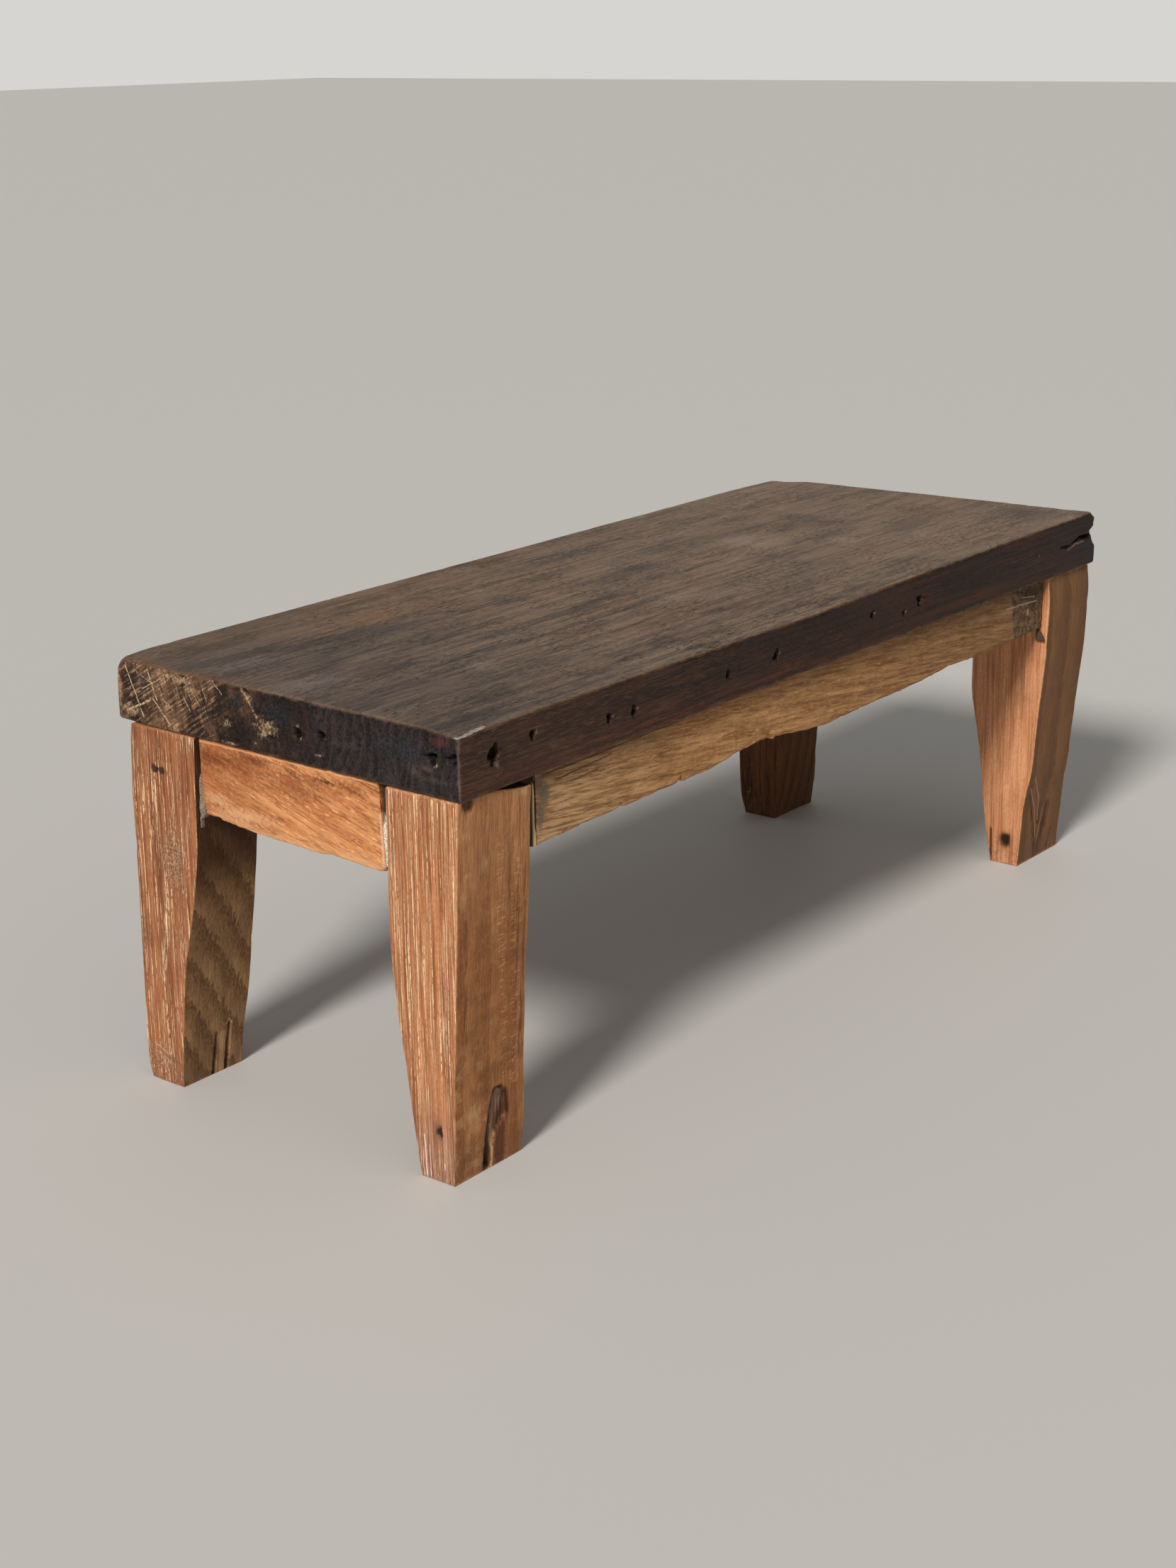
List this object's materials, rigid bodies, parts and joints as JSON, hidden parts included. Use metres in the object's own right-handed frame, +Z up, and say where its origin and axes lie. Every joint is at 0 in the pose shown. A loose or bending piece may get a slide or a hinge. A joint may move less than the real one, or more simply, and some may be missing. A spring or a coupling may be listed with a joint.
{
  "type": "bench",
  "caption": "Low rustic hardwood bench: a thick dark slab seat on tapering legs tied by wavy rails with pegged tenons.",
  "frame": {"origin": "on the floor, under the middle of the slab's bounding box", "axes": "+X along the bench to its right end, +Y across it to the back, +Z up"},
  "size_m": [1.1352, 0.436, 0.4225],
  "materials": {
    "slab_wood": "old dark stained teak, satin, worn at the edges",
    "leg_front_left_wood": "golden teak, open grain, matt",
    "leg_front_right_wood": "orange teak, open grain, matt",
    "leg_back_left_wood": "brown teak, open grain, matt",
    "leg_back_right_wood": "dark brown teak, matt",
    "apron_front_wood": "golden teak, coarse sawn, matt",
    "apron_back_wood": "golden teak, coarse sawn, matt",
    "apron_left_wood": "orange teak, coarse sawn, matt",
    "apron_right_wood": "orange teak, coarse sawn, matt",
    "filler_grey": "hard grey wood filler, rough",
    "shim_wood": "pale wood sliver, matt",
    "plug_putty": "grey putty, rough",
    "peg_wood": "pale hardwood, matt",
    "cleat_wood": "planed pale wood, matt",
    "nail_iron": "dark rusty iron",
    "screw_steel": "dull plated steel"
  },
  "bodies": {
    "root": {"seat_slab": "slab_wood", "leg_front_left": "leg_front_left_wood", "leg_front_right": "leg_front_right_wood", "leg_back_left": "leg_back_left_wood", "leg_back_right": "leg_back_right_wood", "apron_front": "apron_front_wood", "apron_back": "apron_back_wood", "apron_left": "apron_left_wood", "apron_right": "apron_right_wood", "filler_left_front": "filler_grey", "filler_left_back": "filler_grey", "shim_front_left": "shim_wood", "plug_front_right": "plug_putty", "peg_front_left_long": "peg_wood", "peg_front_left_end": "peg_wood", "peg_front_right_long": "peg_wood", "peg_front_right_end": "peg_wood", "peg_back_left_long": "peg_wood", "peg_back_left_end": "peg_wood", "peg_back_right_long": "peg_wood", "peg_back_right_end": "peg_wood", "cleat_front": "cleat_wood", "cleat_back": "cleat_wood", "cleat_left": "cleat_wood", "cleat_right": "cleat_wood", "screw_front_side_1": "screw_steel", "screw_front_side_2": "screw_steel", "screw_front_side_3": "screw_steel", "screw_back_side_1": "screw_steel", "screw_back_side_2": "screw_steel", "screw_back_side_3": "screw_steel", "screw_front_up_1": "screw_steel", "screw_front_up_2": "screw_steel", "screw_front_up_3": "screw_steel", "screw_back_up_1": "screw_steel", "screw_back_up_2": "screw_steel", "screw_back_up_3": "screw_steel", "screw_left_side_1": "screw_steel", "screw_left_side_2": "screw_steel", "screw_right_side_1": "screw_steel", "screw_right_side_2": "screw_steel", "screw_left_up_1": "screw_steel", "screw_right_up_1": "screw_steel", "nail_back_left": "nail_iron"}
  },
  "joints": []
}
